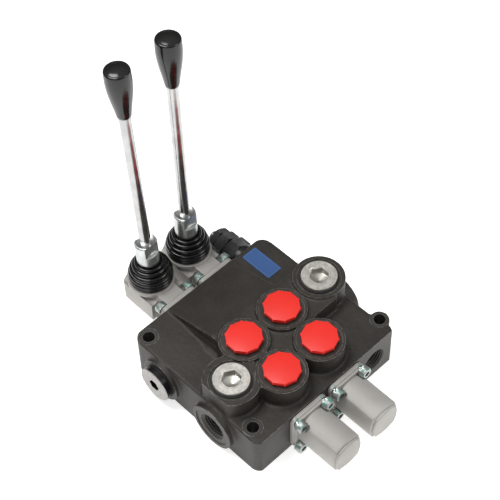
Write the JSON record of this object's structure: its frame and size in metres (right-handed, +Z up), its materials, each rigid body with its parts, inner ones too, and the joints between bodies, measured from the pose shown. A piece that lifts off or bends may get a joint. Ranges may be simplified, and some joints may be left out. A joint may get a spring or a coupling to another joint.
{
  "type": "hydraulic monoblock valve",
  "caption": "Hand-lever hydraulic monoblock directional valve: cast block with plugged work ports, sprung spools, lever housings with boots, end caps and a relief cartridge.",
  "frame": {"origin": "on the mounting face, under the middle of the four work ports", "axes": "+X along the spools from the levers to the end caps, +Y across the spools, +Z up out of the mounting face along the levers"},
  "size_m": [0.2062, 0.144, 0.2309],
  "materials": {
    "casting": "dark satin phosphate coat over as-cast skin, machined faces brighter",
    "die_cast_aluminium": "fine satin, lightly blasted",
    "zinc_steel": "bright zinc plate",
    "ground_steel": "ground and polished",
    "spring_steel": "oiled spring wire",
    "black_steel": "black oxide",
    "dark_cartridge": "dark grey phosphate",
    "grey_plug": "turned, grey phosphate",
    "satin_plug": "turned satin zinc",
    "knob_plastic": "glossy moulded black",
    "insert_brass": "turned",
    "boot_rubber": "glossy black rubber",
    "seal_rubber": "matte black rubber",
    "red_cap": "bright red moulded polyethylene",
    "blue_plate": "blank blue foil"
  },
  "bodies": {
    "valve": {"valve_body": "casting", "front_spool_seals": "seal_rubber", "rear_spool_seals": "seal_rubber", "lever_housing_1": "die_cast_aluminium", "lever_housing_2": "die_cast_aluminium", "lever_housing_screws": "zinc_steel", "lever_pin_1": "ground_steel", "lever_pin_2": "ground_steel", "lever_boot_1": "boot_rubber", "lever_boot_2": "boot_rubber", "end_cap_1": "die_cast_aluminium", "end_cap_2": "die_cast_aluminium", "end_cap_screws": "zinc_steel", "centring_spring_1": "spring_steel", "centring_spring_2": "spring_steel", "inner_spring_seat_1": "spring_steel", "inner_spring_seat_2": "spring_steel", "outer_spring_seat_1": "spring_steel", "outer_spring_seat_2": "spring_steel", "port_cap_a1": "red_cap", "port_cap_b1": "red_cap", "port_cap_a2": "red_cap", "port_cap_b2": "red_cap", "front_top_plug": "satin_plug", "rear_top_plug": "satin_plug", "top_plug_seals": "seal_rubber", "side_plug": "grey_plug", "side_plug_seal": "seal_rubber", "rear_side_plug": "dark_cartridge", "inlet_check_spring": "spring_steel", "relief_cartridge": "dark_cartridge", "relief_spring": "spring_steel", "relief_seat": "ground_steel", "relief_seal": "seal_rubber", "name_plate": "blue_plate"},
    "spool_1": {"spool_1": "ground_steel", "spool_bolt_1": "black_steel"},
    "spool_2": {"spool_2": "ground_steel", "spool_bolt_2": "black_steel"},
    "lever_1": {"lever_socket_1": "zinc_steel", "lever_rod_1": "zinc_steel", "lever_knob_1": "knob_plastic", "knob_insert_1": "insert_brass"},
    "lever_2": {"lever_socket_2": "zinc_steel", "lever_rod_2": "zinc_steel", "lever_knob_2": "knob_plastic", "knob_insert_2": "insert_brass"},
    "inlet_check": {"inlet_check_poppet": "ground_steel"},
    "relief_poppet": {"relief_poppet": "ground_steel"},
    "relief_screw": {"relief_adjusting_screw": "zinc_steel"},
    "lock_nut": {"relief_lock_nut": "black_steel"}
  },
  "joints": [
    {"name": "lever_1_tilt", "type": "hinge", "parent": "valve", "child": "lever_1", "pos_m": [-0.111, -0.0175, 0.033], "axis": [0, 1, 0], "range_deg": [-18, 18], "stiffness_Nm_per_rad": 1.6, "deforming": ["lever_boot_1"]},
    {"name": "lever_2_tilt", "type": "hinge", "parent": "valve", "child": "lever_2", "pos_m": [-0.111, 0.0175, 0.033], "axis": [0, 1, 0], "range_deg": [-18, 18], "stiffness_Nm_per_rad": 1.6, "deforming": ["lever_boot_2"]},
    {"name": "spool_1_slide", "type": "slide", "parent": "valve", "child": "spool_1", "axis": [1, 0, 0], "range_m": [-0.00475, 0.00475]},
    {"name": "spool_2_slide", "type": "slide", "parent": "valve", "child": "spool_2", "axis": [1, 0, 0], "range_m": [-0.00475, 0.00475]},
    {"name": "inlet_check_lift", "type": "slide", "parent": "valve", "child": "inlet_check", "axis": [0, 0, 1], "range_m": [0, 0.003], "stiffness_N_per_m": 400, "springref_m": -0.001, "deforming": ["inlet_check_spring"]},
    {"name": "relief_poppet_lift", "type": "slide", "parent": "valve", "child": "relief_poppet", "axis": [-1, 0, 0], "range_m": [0, 0.002], "stiffness_N_per_m": 2000, "springref_m": -0.001, "deforming": ["relief_spring"]},
    {"name": "relief_screw_turn", "type": "hinge", "parent": "valve", "child": "relief_screw", "pos_m": [-0.1, 0.0445, 0.02], "axis": [1, 0, 0], "range_deg": [-180, 180]},
    {"name": "lock_nut_turn", "type": "hinge", "parent": "valve", "child": "lock_nut", "pos_m": [-0.1, 0.0445, 0.02], "axis": [1, 0, 0], "range_deg": [-180, 180]}
  ],
  "couplings": [
    {"joint": "spool_1_slide", "follows": "lever_1_tilt", "m_per_rad": -0.015},
    {"joint": "spool_2_slide", "follows": "lever_2_tilt", "m_per_rad": -0.015}
  ]
}
